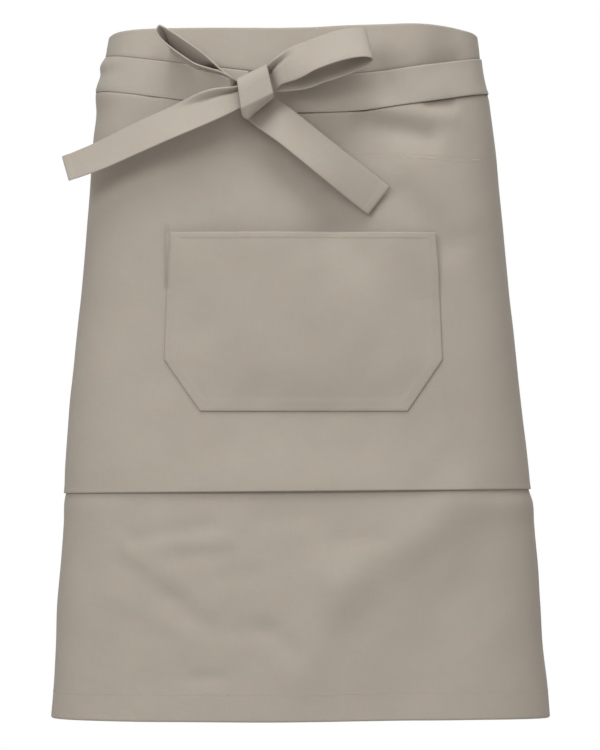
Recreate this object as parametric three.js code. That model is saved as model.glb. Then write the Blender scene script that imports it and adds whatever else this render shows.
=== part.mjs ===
// A waist apron in its worn form. A cloth panel goes round the front and sides of the hips and laps over a
// lower panel, a patch pocket is sewn to the front, and two ties cross at the back and meet in a bow in front.
// Millimetres. +Z is up, the front faces -Y, and +X is to the right in the front view.
// The origin is the centre of the waist, level with the top edge at the front.

import * as THREE from 'three';

// Driving sizes
const CLOTH = 1.2; // wall of the panels and the pocket
const TIE_CLOTH = 1.4; // wall of the ties, which are folded double
const AIR = 0.4; // gap between the pocket's sewn edges and the panel
const TIE_AIR = 1; // gap between a tie and the panel
const PANEL_WIDTH = 800; // from side edge to side edge, laid flat
const TIE_WIDTH = 32;
const LAP = 30; // how far the lower panel runs up behind the upper one
const LAP_AIR = 0.9; // gap between the two panels there
const LAP_LIFT = 1.6; // how far the upper panel's lower edge stands out
const LAP_LIFT_LENGTH = 45;
const LAP_EASE_LENGTH = 80; // from the lap down to where the lower panel is flush with the upper one
const BACK_SQUARE = 2.2; // exponent of the back half of every section
const FORM_STEPS = 160; // points on half a section
const REAR_START = 250; // distance round from the front where the top edge starts to rise
const SLOPE_STEP = 2; // step for measuring which way the form faces
const STRIP_STEP = 1e-3; // the same along a strip, as a share of its length

// Facets of each wall, along and across
const PANEL_COLUMNS = 48;
const UPPER_ROWS = 16;
const LOWER_ROWS = 11;
const POCKET_COLUMNS = 18;
const POCKET_ROWS_PER_LEVEL = 3;
const TIE_COLUMNS = 44;
const STRIP_ROWS = 2;
const LOOP_COLUMNS = 26;
const TAIL_COLUMNS = 16;
const KNOT_SIDES = 20;
const KNOT_ROWS = 6;

// The form that the cloth is worn on, a row for each height. halfWidth is half the breadth and shift moves
// the section sideways. front, widest and back are depths along Y. square fills out the front corners.
const SECTIONS = [
  { height: -640, halfWidth: 230.5, shift: 6.8, front: -130, widest: -50, back: 122, square: 2.5 },
  { height: -560, halfWidth: 225, shift: 6.3, front: -126, widest: -42, back: 122, square: 2.6 },
  { height: -420, halfWidth: 215, shift: 4.4, front: -120, widest: -28, back: 122, square: 2.9 },
  { height: -300, halfWidth: 203.5, shift: 2.6, front: -118, widest: -18, back: 121, square: 3.2 },
  { height: -225, halfWidth: 195.5, shift: 2.5, front: -118, widest: -13, back: 120, square: 3.4 },
  { height: -150, halfWidth: 189, shift: 1.6, front: -118, widest: -10, back: 118, square: 3.6 },
  { height: -95, halfWidth: 184.5, shift: 1, front: -118, widest: -9, back: 116, square: 3.8 },
  { height: -54, halfWidth: 179.5, shift: -0.6, front: -117, widest: -9, back: 114, square: 4 },
  { height: 0, halfWidth: 171, shift: 0, front: -113, widest: -8, back: 111, square: 4 },
  { height: 30, halfWidth: 166, shift: 0, front: -111, widest: -8, back: 110, square: 4 },
];

// The three horizontal edges. tilt is the rise for each mm to the right, sideDrop how much lower the edge is
// at the widest line, and rearRise how much higher at the back.
const TOP_EDGE = { height: 0, tilt: 0.02, sideDrop: 3, rearRise: 16 };
const LAP_EDGE = { height: -418, tilt: 0.0086, sideDrop: 3.2, rearRise: 0 };
const HEM_EDGE = { height: -626, tilt: 0, sideDrop: 2.3, rearRise: 0 };

// The main folds and dents, from one point to another on the laid-flat cloth. rise is positive outwards.
const FOLDS = [
  { name: 'under right tie', x0: 74, z0: -80, x1: 124, z1: -94, width: 9, rise: -3 },
  { name: 'right hip', x0: 90, z0: -137, x1: 132, z1: -184, width: 11, rise: -2.5 },
  { name: 'hollow under the bow', x0: -10, z0: -105, x1: 40, z1: -160, width: 34, rise: -4 },
  { name: 'top edge right', x0: 124, z0: 2, x1: 102, z1: -30, width: 10, rise: -2.5 },
  { name: 'long ridge', x0: 155, z0: -426, x1: -18, z1: -590, width: 20, rise: 4 },
  { name: 'upper left crease', x0: -143, z0: -468, x1: -89, z1: -452, width: 10, rise: -2 },
  { name: 'lower left crease', x0: -155, z0: -504, x1: -77, z1: -540, width: 11, rise: -2.2 },
];

// The pocket: a row for each level, with its half width. seam is 1 where the sides are sewn down.
const POCKET_CENTRE = 7.5;
const POCKET_SLACK = 12; // how far the middle of the mouth stands out
const POCKET_SIDE_SLACK = 0.25; // share of that at the loose upper ends of the sides
const POCKET_LEVELS = [
  { height: -186, halfWidth: 120, seam: 0 },
  { height: -216, halfWidth: 121.5, seam: 0.35 },
  { height: -246, halfWidth: 123, seam: 1 },
  { height: -300, halfWidth: 125, seam: 1 },
  { height: -346, halfWidth: 93, seam: 1 },
];

// Each tie's way round the form. turn is 0 at the front and 1 or -1 at the centre of the back, height is the
// middle of the tie, and lift is the extra distance it stands off the panel.
const TIE_LEFT = [
  { turn: -1.235, height: 0, lift: 0 },
  { turn: -1.16, height: -3, lift: 0 },
  { turn: -1, height: -19.5, lift: 0 },
  { turn: -0.84, height: -36, lift: 0 },
  { turn: -0.66, height: -37.5, lift: 0 },
  { turn: -0.5, height: -37.5, lift: 0 },
  { turn: -0.36, height: -39.5, lift: 0.6 },
  { turn: -0.24, height: -47, lift: 0.8 },
  { turn: -0.078, height: -57, lift: 0.4 },
];
const TIE_RIGHT = [
  { turn: -0.07, height: -61, lift: 0.4 },
  { turn: 0.12, height: -59, lift: 1.6 },
  { turn: 0.24, height: -51, lift: 2.2 },
  { turn: 0.36, height: -42.5, lift: 1 },
  { turn: 0.5, height: -38.5, lift: 0 },
  { turn: 0.66, height: -38, lift: 0 },
  { turn: 0.84, height: -36, lift: 2 },
  { turn: 1, height: -19.5, lift: 2.4 },
  { turn: 1.16, height: -3, lift: 2 },
  { turn: 1.235, height: 0, lift: 0 },
];

// The knot is a turn of tie, an oval tube whose axis climbs to the right.
const KNOT = { x: -32.5, y: -137, z: -58.6, halfLength: 15.6, halfHeight: 15.2, halfDepth: 14, climb: 0.54 };
const KNOT_CLOTH = 1.6;
const KNOT_CROWN = 0.04; // how much the tube narrows at its two ends
const KNOT_TAPER = 0.1; // how much taller it is at its left end than in the middle
const INSERT = 5; // how far the loops go into the knot
const GATHER_LENGTH = 42; // from the knot to where a loop has its full width

// The bow's loops. climb and swing are the loop's angles upwards and to the front, and lean is how far its
// upper edge leans to the front, in degrees, which it takes up between leanFrom and leanTo from the knot. reach is
// its length from the knot's middle, open the greatest distance between its two layers, gather the share of the
// tie's width left in the knot, and seat and rise its place there, to the back and upwards. hang is 1 where the
// upper edge keeps to the loop's line, and stand is how far the leaning strip comes forward.
const LOOPS = {
  bow_loop_left: {
    side: -1, climb: 35.3, swing: -9, lean: 82, leanFrom: 2, leanTo: 28, reach: 92.3, open: 11, gather: 0.5, seat: 2,
    rise: 6, hang: 1, stand: 8,
  },
  bow_loop_right: {
    side: 1, climb: 19, swing: 10, lean: -32, leanFrom: 12, leanTo: 48, reach: 97, open: 25, gather: 0.44, seat: 0.8,
    rise: -0.6, hang: 0, stand: 0,
  },
};
const LOOP_START = 10; // degrees of the loop's curve left out at the knot

// The free ends, a row for each point along the middle. back is the distance behind the knot's middle, width
// the share of the tie's width, and lean how far the upper edge leans to the back, in degrees.
const TAIL_LEFT = [
  { x: -41, back: -5.2, z: -63, width: 0.42, lean: 0 },
  { x: -50, back: -5.8, z: -67.5, width: 0.46, lean: 0 },
  { x: -70, back: -10.5, z: -76.5, width: 0.84, lean: 10 },
  { x: -116, back: -3, z: -92.6, width: 1, lean: 24 },
  { x: -163, back: 13, z: -111.6, width: 1, lean: 28 },
  { x: -202.5, back: 32, z: -127.6, width: 1, lean: 32 },
];
const TAIL_RIGHT = [
  { x: -33, back: 15.2, z: -70, width: 0.92, lean: 0 },
  { x: -22, back: 14, z: -79, width: 0.94, lean: 2 },
  { x: -2, back: 5.5, z: -94, width: 0.96, lean: 10 },
  { x: 34, back: 5, z: -123, width: 1, lean: 15 },
  { x: 76, back: 13, z: -156.5, width: 1, lean: 11 },
];

const clamp = THREE.MathUtils.clamp;
const smoothstep = THREE.MathUtils.smoothstep;
const radians = THREE.MathUtils.degToRad;

// Reads a table between its rows along a smooth curve. The rows rise in the column named key.
function smoothTable(rows, key) {
  const names = Object.keys(rows[0]);
  const keys = rows.map((row) => row[key]);
  const values = rows.flatMap((row) => names.map((name) => row[name]));
  const curve = new THREE.CubicInterpolant(keys, values, names.length);
  return (at) => {
    const found = curve.evaluate(clamp(at, keys[0], keys[keys.length - 1]));
    return Object.fromEntries(names.map((name, i) => [name, found[i]]));
  };
}

const sectionAt = smoothTable(SECTIONS, 'height');

// Half of one section of the form, from the middle of the front to the middle of the back.
function halfSection(height) {
  const section = sectionAt(height);
  const points = [];
  let length = 0;
  for (let i = 0; i <= FORM_STEPS; i += 1) {
    const angle = (Math.PI * i) / FORM_STEPS;
    const inFront = angle < Math.PI / 2;
    const depth = inFront ? section.widest - section.front : section.back - section.widest;
    const power = inFront ? section.square : BACK_SQUARE;
    const side = Math.abs(Math.sin(angle)) / section.halfWidth;
    const ahead = Math.abs(Math.cos(angle)) / depth;
    const radius = (side ** power + ahead ** power) ** (-1 / power);
    const point = { x: radius * Math.sin(angle), y: section.widest - radius * Math.cos(angle), length: 0 };
    if (i > 0) {
      const last = points[i - 1];
      length += Math.hypot(point.x - last.x, point.y - last.y);
    }
    point.length = length;
    points.push(point);
  }
  return { section, points, length };
}

// The point of the form at a height and a distance round from the front, positive to the right.
function onForm(height, distance) {
  const { section, points, length } = halfSection(height);
  let side = Math.sign(distance) || 1;
  let along = Math.abs(distance);
  if (along > length) {
    along = 2 * length - along;
    side = -side;
  }
  let i = 1;
  while (i < points.length - 1 && points[i].length < along) {
    i += 1;
  }
  const before = points[i - 1];
  const after = points[i];
  const t = (along - before.length) / (after.length - before.length);
  const x = before.x + (after.x - before.x) * t;
  const y = before.y + (after.y - before.y) * t;
  return new THREE.Vector3(section.shift + side * x, y, height);
}

// How far the folds push the cloth out at a point of the laid-flat panel.
function foldRise(distance, height) {
  const point = new THREE.Vector2(distance, height);
  return FOLDS.reduce((sum, fold) => {
    const start = new THREE.Vector2(fold.x0, fold.z0);
    const run = new THREE.Vector2(fold.x1, fold.z1).sub(start);
    const share = clamp(point.clone().sub(start).dot(run) / run.lengthSq(), 0, 1);
    const off = point.distanceTo(start.addScaledVector(run, share)) / fold.width;
    return sum + fold.rise * Math.exp(-off * off);
  }, 0);
}

// A point on the worn cloth, moved out from the middle of the panel's wall by lift.
function onCloth(height, distance, lift) {
  const across = onForm(height, distance + SLOPE_STEP).sub(onForm(height, distance - SLOPE_STEP));
  const down = onForm(height - SLOPE_STEP, distance).sub(onForm(height + SLOPE_STEP, distance));
  const out = down.cross(across).normalize();
  return onForm(height, distance).addScaledVector(out, lift + foldRise(distance, height));
}

// The height of one of the horizontal edges at a distance round from the front.
function edgeHeight(edge, distance) {
  const section = sectionAt(edge.height);
  const point = onForm(edge.height, distance);
  const sideShare = clamp((point.y - section.front) / (section.widest - section.front), 0, 1);
  const rearShare = smoothstep(Math.abs(distance), REAR_START, PANEL_WIDTH / 2);
  return edge.height + edge.tilt * point.x - edge.sideDrop * sideShare + edge.rearRise * rearShare;
}

// A closed cloth wall over a grid. place(u, v, lift) gives a point for u and v from 0 to 1, moved out by
// lift. With round set, the grid closes on itself along u.
function clothWall(columns, rows, thickness, place, round = false) {
  const positions = [];
  const triangles = [];
  const wide = round ? columns : columns + 1;
  const layer = wide * (rows + 1);
  for (const lift of [thickness / 2, -thickness / 2]) {
    for (let v = 0; v <= rows; v += 1) {
      for (let u = 0; u < wide; u += 1) {
        positions.push(...place(u / columns, v / rows, lift).toArray());
      }
    }
  }
  const outer = (u, v) => v * wide + (u % wide);
  const quad = (a, b, c, d) => triangles.push(a, b, c, a, c, d);
  for (let v = 0; v < rows; v += 1) {
    for (let u = 0; u < columns; u += 1) {
      const corners = [outer(u, v), outer(u, v + 1), outer(u + 1, v + 1), outer(u + 1, v)];
      quad(...corners);
      quad(...corners.reverse().map((corner) => corner + layer));
    }
  }
  const rim = (from, to) => quad(to, from, from + layer, to + layer);
  for (let u = 0; u < columns; u += 1) {
    rim(outer(u, rows), outer(u + 1, rows));
    rim(outer(u + 1, 0), outer(u, 0));
  }
  for (let v = 0; v < rows && !round; v += 1) {
    rim(outer(0, v), outer(0, v + 1));
    rim(outer(columns, v + 1), outer(columns, v));
  }
  const geometry = new THREE.BufferGeometry();
  geometry.setAttribute('position', new THREE.Float32BufferAttribute(positions, 3));
  geometry.setIndex(triangles);
  geometry.computeVertexNormals();
  return geometry;
}

function upperPanel() {
  return clothWall(PANEL_COLUMNS, UPPER_ROWS, CLOTH, (u, v, lift) => {
    const distance = (u - 0.5) * PANEL_WIDTH;
    const top = edgeHeight(TOP_EDGE, distance);
    const bottom = edgeHeight(LAP_EDGE, distance);
    const height = top + (bottom - top) * v;
    const lapLift = LAP_LIFT * (1 - smoothstep(height - bottom, 0, LAP_LIFT_LENGTH));
    return onCloth(height, distance, lift + lapLift);
  });
}

function lowerPanel() {
  const behind = -(CLOTH + LAP_AIR);
  return clothWall(PANEL_COLUMNS, LOWER_ROWS, CLOTH, (u, v, lift) => {
    const distance = (u - 0.5) * PANEL_WIDTH;
    const lap = edgeHeight(LAP_EDGE, distance);
    const top = lap + LAP;
    const bottom = edgeHeight(HEM_EDGE, distance);
    const height = top + (bottom - top) * v;
    const ease = smoothstep(lap - height, 0, LAP_EASE_LENGTH);
    return onCloth(height, distance, behind * (1 - ease) + lift);
  });
}

// The pocket lies on the panel where it is sewn and stands out towards the middle of its mouth.
function pocket() {
  const levels = POCKET_LEVELS;
  const mouth = levels[0].height;
  const depth = mouth - levels[levels.length - 1].height;
  const rows = (levels.length - 1) * POCKET_ROWS_PER_LEVEL;
  return clothWall(POCKET_COLUMNS, rows, CLOTH, (u, v, lift) => {
    const position = v * (levels.length - 1);
    const i = Math.min(Math.floor(position), levels.length - 2);
    const t = position - i;
    const mix = (name) => levels[i][name] + (levels[i + 1][name] - levels[i][name]) * t;
    const across = 2 * u - 1;
    const fall = (mouth - mix('height')) / depth;
    const edge = 1 - mix('seam');
    const bulge = Math.max(1 - across * across, POCKET_SIDE_SLACK * edge) * (1 - fall * fall);
    const distance = POCKET_CENTRE + across * mix('halfWidth');
    return onCloth(mix('height'), distance, CLOTH + AIR + POCKET_SLACK * bulge + lift);
  });
}

// A tie lying round the outside of the panel.
function tie(table) {
  const at = smoothTable(table, 'turn');
  const first = table[0].turn;
  const last = table[table.length - 1].turn;
  const flat = CLOTH / 2 + TIE_AIR + TIE_CLOTH / 2;
  return clothWall(TIE_COLUMNS, STRIP_ROWS, TIE_CLOTH, (u, v, lift) => {
    const row = at(first + (last - first) * u);
    const distance = row.turn * halfSection(row.height).length;
    return onCloth(row.height + (0.5 - v) * TIE_WIDTH, distance, flat + row.lift + lift);
  });
}

// A strip of tie along a curve. stationAt(u) gives the middle point, the direction from the upper edge to the
// lower one, and the width there.
function ribbon(columns, stationAt) {
  return clothWall(columns, STRIP_ROWS, TIE_CLOTH, (u, v, lift) => {
    const station = stationAt(u);
    const ahead = stationAt(Math.min(u + STRIP_STEP, 1)).middle;
    const along = ahead.clone().sub(stationAt(Math.max(u - STRIP_STEP, 0)).middle);
    const out = station.down.clone().cross(along).normalize();
    const edgeward = station.down.clone().multiplyScalar((v - 0.5) * station.width);
    return station.middle.clone().add(edgeward).addScaledVector(out, lift);
  });
}

function knot() {
  return clothWall(KNOT_SIDES, KNOT_ROWS, KNOT_CLOTH, (u, v, lift) => {
    const angle = -2 * Math.PI * u;
    const along = 2 * v - 1;
    const crown = 1 - KNOT_CROWN * along ** 4;
    const outward = lift - KNOT_CLOTH / 2;
    const deep = KNOT.halfDepth * crown + outward;
    const tall = KNOT.halfHeight * crown * (1 - KNOT_TAPER * along) + outward;
    const x = KNOT.x + along * KNOT.halfLength;
    const z = KNOT.z + along * KNOT.halfLength * KNOT.climb + tall * Math.sin(angle);
    return new THREE.Vector3(x, KNOT.y + deep * Math.cos(angle), z);
  }, true);
}

// A loop runs out from the knot in its front layer, turns, and runs back in its rear layer.
function bowLoop(loop) {
  const climb = radians(loop.climb);
  const swing = radians(loop.swing);
  const run = new THREE.Vector3(loop.side * Math.cos(climb), -Math.tan(swing), Math.sin(climb)).normalize();
  const up = new THREE.Vector3(-loop.side * Math.sin(climb), 0, Math.cos(climb));
  const back = up.clone().cross(run).multiplyScalar(loop.side);
  const inside = loop.side * (KNOT.halfLength - INSERT);
  const root = new THREE.Vector3(inside, loop.seat, inside * KNOT.climb + loop.rise).add(KNOT);
  const start = radians(LOOP_START);
  return ribbon(LOOP_COLUMNS, (u) => {
    const turn = start + (Math.PI - 2 * start) * u;
    const along = (loop.reach * (Math.sin(turn) - Math.sin(start))) / (1 - Math.sin(start));
    const leant = smoothstep(along, loop.leanFrom, loop.leanTo);
    const lean = radians(loop.lean) * leant;
    const share = loop.gather + (1 - loop.gather) * smoothstep(along, INSERT, GATHER_LENGTH);
    const width = TIE_WIDTH * share;
    const apart = back.clone().multiplyScalar(Math.cos(lean)).addScaledVector(up, Math.sin(lean));
    const down = back.clone().multiplyScalar(Math.sin(lean)).addScaledVector(up, -Math.cos(lean));
    const middle = root.clone().addScaledVector(run, along);
    middle.addScaledVector(apart, (-loop.open / 2) * Math.sin(2 * turn));
    middle.addScaledVector(back, -loop.stand * leant);
    middle.addScaledVector(up, (-loop.hang * Math.cos(lean) * width) / 2);
    return { middle, down, width };
  });
}

// A free end follows its table, with its width square to its run and leaning as the table says.
function bowTail(table) {
  const points = table.map((row) => new THREE.Vector3(row.x, KNOT.y + row.back, row.z));
  const middles = new THREE.CatmullRomCurve3(points);
  const back = new THREE.Vector3(0, 1, 0);
  return ribbon(TAIL_COLUMNS, (u) => {
    const position = u * (table.length - 1);
    const i = Math.min(Math.floor(position), table.length - 2);
    const mix = (name) => table[i][name] + (table[i + 1][name] - table[i][name]) * (position - i);
    const along = middles.getTangent(u);
    const side = new THREE.Vector3(along.x, 0, along.z).normalize();
    const facing = Math.sign(side.x);
    const downFlat = new THREE.Vector3(side.z * facing, 0, -side.x * facing);
    const lean = radians(mix('lean'));
    const down = downFlat.multiplyScalar(Math.cos(lean)).addScaledVector(back, -Math.sin(lean));
    return { middle: middles.getPoint(u), down, width: TIE_WIDTH * mix('width') };
  });
}

const PANEL_FINISH = { color: 0xa8a095, roughness: 0.85, metalness: 0 };
const LOWER_FINISH = { color: 0xa69d92, roughness: 0.85, metalness: 0 };
const TIE_FINISH = { color: 0xb4ab9f, roughness: 0.8, metalness: 0 };

const pieces = [
  ['upper_panel', upperPanel(), PANEL_FINISH],
  ['lower_panel', lowerPanel(), LOWER_FINISH],
  ['pocket', pocket(), PANEL_FINISH],
  ['tie_left', tie(TIE_LEFT), TIE_FINISH],
  ['tie_right', tie(TIE_RIGHT), TIE_FINISH],
  ['bow_knot', knot(), TIE_FINISH],
  ...Object.entries(LOOPS).map(([name, loop]) => [name, bowLoop(loop), TIE_FINISH]),
  ['bow_tail_left', bowTail(TAIL_LEFT), TIE_FINISH],
  ['bow_tail_right', bowTail(TAIL_RIGHT), TIE_FINISH],
];

const apron = new THREE.Group();
apron.name = 'waist_apron';
for (const [name, geometry, finish] of pieces) {
  const mesh = new THREE.Mesh(geometry, new THREE.MeshStandardMaterial(finish));
  mesh.name = name;
  apron.add(mesh);
}

export default apron;
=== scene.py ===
"""A waist apron in its worn form: a panel wrapped round the hips and lapped over a lower one, a patch pocket,
and two ties in a bow.

Sizes are in millimetres, and the meshes are made in metres. +Z is up, the front faces -Y, and +X is to the
right in the front view. Every cloth piece is a closed wall over a grid, in the place of the CAD node of the
same name.
"""

import math
from types import SimpleNamespace as Sizes

import bmesh
import bpy
import numpy as np
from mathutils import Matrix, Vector


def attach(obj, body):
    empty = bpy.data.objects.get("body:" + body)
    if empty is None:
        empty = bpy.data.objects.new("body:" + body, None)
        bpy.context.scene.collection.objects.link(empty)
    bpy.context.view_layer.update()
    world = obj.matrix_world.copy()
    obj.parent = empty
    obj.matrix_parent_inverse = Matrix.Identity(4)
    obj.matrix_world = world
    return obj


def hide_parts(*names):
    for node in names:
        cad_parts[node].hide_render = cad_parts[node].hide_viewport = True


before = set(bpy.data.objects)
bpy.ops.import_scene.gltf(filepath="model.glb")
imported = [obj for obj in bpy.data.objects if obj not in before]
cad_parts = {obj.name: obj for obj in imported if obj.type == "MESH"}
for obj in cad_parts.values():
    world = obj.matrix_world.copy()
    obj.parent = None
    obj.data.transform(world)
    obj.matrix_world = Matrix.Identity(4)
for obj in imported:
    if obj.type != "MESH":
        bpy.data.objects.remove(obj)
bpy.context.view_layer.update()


def table(columns, *rows):
    """Rows as dicts, from the columns' names and each row's values. A short row has no last columns."""
    return [dict(zip(columns.split(), row)) for row in rows]


MM = 0.001
SEED = 11

# Cloth
CLOTH = 1.2
TIE_CLOTH = 1.4
KNOT_CLOTH = 1.8
AIR = 0.4  # between the pocket's sewn edges and the panel
TIE_AIR = 1.0  # between a tie and the panel
PANEL_WIDTH = 800
TIE_WIDTH = 32
LAP = 30  # how far the lower panel runs up behind the upper one
LAP_AIR = 0.9
LAP_LIFT_LENGTH = 45  # how far up the gape of the lapped edge reaches
LAP_EASE_LENGTH = 80  # how far below the lap the lower panel is back on the form

# Hems, turned in on the inside
BOTTOM_HEM = 25
TOP_HEM = 18
SIDE_HEM = 14
HEM_EXTRA = 0.9
HEM_STEP = 1.2

# Grid steps along and across the cloth
PANEL_STEP = 3.2
POCKET_STEP = 2.2
TIE_STEP = 2.5
STRIP_STEP = 1.3
CLOSE_STEP = 1.1

# The form that the cloth is worn on, a row for each height
BACK_SQUARE = 2.2  # the back half's power, where square is the front half's and 2 is an ellipse
FORM_STEPS = 160  # chords round half a section
FORM_CHUNK = 4096  # points worked out at a time
SLOPE_STEP = 2.0  # to either side of a point, for the slope there
SECTIONS = table(
    "height half_width shift front widest back square",
    (-640, 230.5, 6.8, -130, -50, 122, 2.5),
    (-560, 225, 6.3, -126, -42, 122, 2.6),
    (-420, 215, 4.4, -120, -28, 122, 2.9),
    (-300, 203.5, 2.6, -118, -18, 121, 3.2),
    (-225, 195.5, 2.5, -118, -13, 120, 3.4),
    (-150, 189, 1.6, -118, -10, 118, 3.6),
    (-95, 184.5, 1, -118, -9, 116, 3.8),
    (-54, 179.5, -0.6, -117, -9, 114, 4),
    (0, 171, 0, -113, -8, 111, 4),
    (30, 166, 0, -111, -8, 110, 4),
)

# The three horizontal edges: rise to the right, drop at the widest line and rise at the back, which starts at
# the distance REAR_START round from the front. trim is a column of EDGE_TRIM.
TOP_EDGE = Sizes(height=0, tilt=0.02, side_drop=3, rear_rise=16, trim="top")
LAP_EDGE = Sizes(height=-418, tilt=0.0086, side_drop=3.2, rear_rise=0, trim=None)
HEM_EDGE = Sizes(height=-626, tilt=0, side_drop=2.3, rear_rise=0, trim="hem")
REAR_START = 250

# How far the edges depart from that, by the distance round from the front, and how far the lapped edge gapes
EDGE_TRIM = table(
    "distance top hem gape",
    (-400, 0, 1, 0.3),
    (-240, 0, 1, 0),
    (-188, 1.7, 1.1, 0.2),
    (-140, 1.6, 1.2, 1),
    (-95, 0.3, 1.4, 1.8),
    (-30, -1.2, 1.3, 2.8),
    (10, -2, 1.6, 3),
    (45, -0.9, 2.2, 2.8),
    (97, 0, 2.7, 2),
    (133, 0.2, 2.6, 1.2),
    (155, -0.5, 2.6, 0.8),
    (172, -2.4, 2.5, 0.4),
    (205, -4.6, 2, 0.1),
    (260, -2.5, 1, 0),
    (400, 0, 1, 0.3),
)

# Folds and dents between two points of the laid-flat cloth, with a positive rise outwards. tie is how much of
# a dent a tie over it follows, which is TIE_FOLD where the row doesn't say.
TIE_FOLD = 0.3
FOLDS = table(
    "name x0 z0 x1 z1 width rise tie",
    ("under right tie", 66, -86, 122, -100, 12, -6.5),
    ("ridge over that", 84, -76, 146, -82, 8, 2),
    ("dent at the tie's lower edge", 126, -69, 146, -67, 6, -3.2),
    ("right hip", 98, -152, 138, -197, 17, -4.4),
    ("beside that", 118, -126, 156, -172, 16, 2),
    ("hollow under the bow", -24, -98, 44, -168, 32, -9),
    ("hollow under the right loop", 12, -92, 62, -102, 26, -8.5, 0.95),
    ("over the pocket's mouth", 34, -190, 54, -206, 22, -5),
    ("top edge right", 108, 4, 117, -26, 17, 3.2),
    ("top edge far right", 154, 4, 152, -28, 26, -6.5),
    ("under left tie", -196, -70, -100, -80, 13, -0.7),
    ("in the left tie", -121, -36, -125, -56, 8, -3.5),
    ("under the left loop", -100, -52, -72, -60, 12, -6),
    ("over the right tie", 88, -40, 158, -31, 15, -4.6),
    ("beside the pocket's mouth", -114.4, -184, -115.6, -236, 2.8, -2),
    ("at the pocket's foot", -40, -342, 62, -350, 30, -3.2),
    ("long ridge", 151, -427, 39, -502, 24, 5),
    ("long ridge, lower end", 39, -502, 5, -583, 22, 3.6),
    ("right of the ridge", 152, -505, 96, -592, 46, -6),
    ("left, above the crease", -148, -463, -79, -451, 9, -1.7),
    ("left crease's light", -126, -466, -64, -462, 9, 1.3),
    ("left, below the crease", -107, -477, -70, -476, 10, -1.2),
    ("slanting crease", -160, -483, -110, -515, 11, -1.5),
    ("slanting crease, lower end", -118, -516, -82, -541, 12, -1.7),
    ("over the slanting crease", -154, -474, -84, -522, 12, 0.9),
    ("under the slanting crease", -172, -512, -95, -550, 12, 1.1),
    ("curved dent", -57, -546, -30, -543, 10, -1.4),
    ("curved dent's right end", -28, -545, -5, -562, 12, -1.7),
    ("dent over the hem", -95, -587, -72, -586, 7, -1.6),
    ("dent below the lap", 40, -464, 78, -462, 9, -1.4),
    ("dent in the middle", -67, -496, -40, -494, 10, -1.1),
    ("under the lap", -30, -444, 6, -442, 10, -0.9),
)

# How far the cloth stands out round the left and right sides, by height
SIDE_TRIM = table(
    "height left right",
    (-640, -1.4, 0.3),
    (-600, -2.4, 0),
    (-561, -1.9, -1.4),
    (-524, -0.5, -0.1),
    (-490, -1.5, 0.9),
    (-450, -0.7, 1.6),
    (-431, 0.5, 2.6),
    (-421, -0.5, 0.5),
    (-400, 0.2, 0.4),
    (-340, 0.9, 0.9),
    (-300, 0.4, 1.2),
    (-150, 0, 0.8),
    (-95, 0, 0.6),
    (-72, -1.2, 1.3),
    (-60, 0.4, 1.6),
    (-50, 0.8, 0),
    (-38, -1.2, -0.9),
    (-30, 0.4, -1),
    (-21, -2.7, -0.8),
    (-12, -2.6, -0.4),
    (30, -2.4, -0.6),
)
SIDE_START, SIDE_END = 140, 195  # the distances round between which that comes in
NARROW_FOLD = Sizes(at=-115, apart=2.6)  # close columns of the panel's grid, beside the pocket's mouth

# How deep the ties press into the cloth, by the distance round from the front
TIE_GROOVE = table(
    "distance height depth",
    (-490, -19.5, 0),
    (-440, -31.2, 0),
    (-413, -36, 1.6),
    (-325, -37.5, 2),
    (-246, -37.5, 2.2),
    (-177, -39.5, 3.2),
    (-118, -47, 3.4),
    (-60, -54, 2.6),
    (0, -60, 2.6),
    (60, -59, 3.2),
    (118, -51, 1.8),
    (177, -42.5, 1.2),
    (246, -38.5, 1.6),
    (325, -38, 1.6),
    (413, -36, 1.6),
    (440, -31.2, 0),
    (490, -19.5, 0),
)
GROOVE_ABOVE, GROOVE_BELOW = 17.1, 17.3  # to either side of a tie's middle
GROOVE_STEEPNESS = 80
# Rows of the panel's grid that follow the ties, as distances below the top edge. The ties' middle is at
# level, and edges are the rows at the groove's two walls.
TIE_ZONE = Sizes(level=50, start=0, full=30, fade=78, end=112, edges=(32.1, 32.65, 33.5, 66.6, 67.5, 68.1))

# Slight unevenness of the cloth, as waves of seeded directions. slope is the steepness of each wave.
RIPPLES = [
    dict(count=9, shortest=110, longest=260, slope=0.010),
    dict(count=16, shortest=34, longest=90, slope=0.011),
]
RIPPLE_SIDES = Sizes(start=130, end=190, share=0.3)  # how much unevenness is left round the sides
RIPPLE_END = 40  # beyond the panel's side edges, where the unevenness fades out

# The pocket, a row for each level. shift moves it to the right, and seam is 1 where the sides are sewn down.
POCKET_CENTRE = 7.5
POCKET_SLACK = 12
POCKET_SIDE_SLACK = 0.3
POCKET_TURNING = 9  # width of the cloth turned in along the sewn edges
POCKET_RELIEF = 0.3
MOUTH_HEM = 4
POCKET_LEVELS = table(
    "height half_width shift seam",
    (-186, 118.8, 1.2, 0),
    (-216, 121, 0.5, 0.35),
    (-246, 123, 0, 1),
    (-300, 125, 0, 1),
    (-346, 93, 0, 1),
)

# The ties' ways round the form. turn is 0 at the front and 1 or -1 at the centre of the back.
TIE_LEFT = table(
    "turn height lift",
    (-1.235, 0, 0),
    (-1.16, -3, 0),
    (-1, -19.5, 0),
    (-0.84, -36, 0),
    (-0.66, -37.5, 0),
    (-0.5, -37.5, 0),
    (-0.36, -39.5, 0.6),
    (-0.24, -47, 0.8),
    (-0.078, -57, 0.4),
)
TIE_RIGHT = table(
    "turn height lift",
    (-0.07, -61, 0.4),
    (0.12, -59, 0.8),
    (0.24, -51, 1.2),
    (0.36, -42.5, 0.8),
    (0.5, -38.5, 0),
    (0.66, -38, 0),
    (0.84, -36, 4),
    (1, -19.5, 4.2),
    (1.16, -3, 2.6),
    (1.235, 0, 0),
)

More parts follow.
